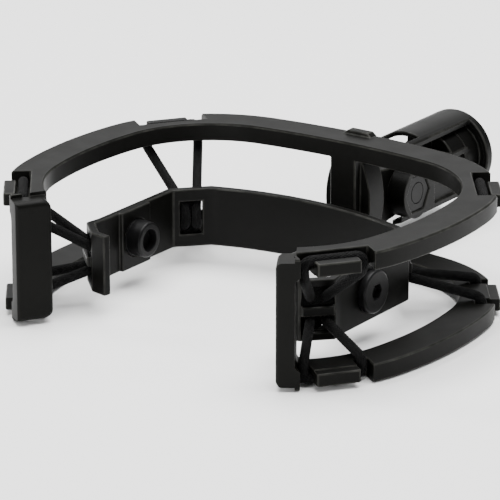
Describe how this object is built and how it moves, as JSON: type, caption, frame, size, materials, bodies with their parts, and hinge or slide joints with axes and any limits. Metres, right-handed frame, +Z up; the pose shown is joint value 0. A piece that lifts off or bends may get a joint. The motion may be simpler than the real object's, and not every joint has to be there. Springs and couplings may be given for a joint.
{
  "type": "microphone shock mount",
  "caption": "C-shaped frame of two rings that carries a side-held microphone in a cradle on elastic cords, with a swivelling threaded barrel at the back.",
  "frame": {"origin": "under the middle of the whole part, level with the underside of the lower ring", "axes": "+Z up, +Y to the back along the threaded barrel, +X to the right as seen from the open front"},
  "size_m": [0.1256, 0.1508, 0.0361],
  "materials": {
    "black_plastic": "fine moulded grain",
    "braided_cord": "tight braid over rubber",
    "black_steel": "black oxide, satin"
  },
  "bodies": {
    "frame": {"outer_frame": "black_plastic", "suspension_cord_front_left": "braided_cord", "suspension_cord_front_right": "braided_cord", "suspension_cord_rear_left": "braided_cord", "suspension_cord_rear_right": "braided_cord"},
    "cradle_body": {"cradle": "black_plastic"},
    "left_nose_body": {"left_side_nose": "black_steel"},
    "left_bolt_body": {"left_side_bolt": "black_steel"},
    "right_nose_body": {"right_side_nose": "black_steel"},
    "right_bolt_body": {"right_side_bolt": "black_steel"},
    "swivel": {"swivel_arm": "black_plastic", "hinge_bolt": "black_steel", "hinge_nut": "black_steel"}
  },
  "joints": [
    {"name": "cradle_float", "type": "slide", "parent": "frame", "child": "cradle_body", "axis": [0, 0, 1], "range_m": [-0.004, 0.004], "stiffness_N_per_m": 1000, "deforming": ["suspension_cord_front_left", "suspension_cord_front_right", "suspension_cord_rear_left", "suspension_cord_rear_right"]},
    {"name": "left_nose_travel", "type": "slide", "parent": "cradle_body", "child": "left_nose_body", "axis": [-1, 0, 0], "range_m": [0, 0.003]},
    {"name": "left_bolt_turn", "type": "hinge", "parent": "left_nose_body", "child": "left_bolt_body", "pos_m": [-0.0393, -0.03011, 0.0133], "axis": [-1, 0, 0], "range_deg": [0, 1080]},
    {"name": "right_nose_travel", "type": "slide", "parent": "cradle_body", "child": "right_nose_body", "axis": [1, 0, 0], "range_m": [0, 0.003]},
    {"name": "right_bolt_turn", "type": "hinge", "parent": "right_nose_body", "child": "right_bolt_body", "pos_m": [0.0393, -0.03011, 0.0133], "axis": [1, 0, 0], "range_deg": [0, 1080]},
    {"name": "arm_swivel", "type": "hinge", "parent": "frame", "child": "swivel", "pos_m": [0, 0.0416, 0.015], "axis": [1, 0, 0], "range_deg": [-90, 30]}
  ],
  "couplings": [
    {"joint": "left_bolt_turn", "follows": "left_nose_travel", "rad_per_m": 6283.1},
    {"joint": "right_bolt_turn", "follows": "right_nose_travel", "rad_per_m": 6283.1}
  ]
}
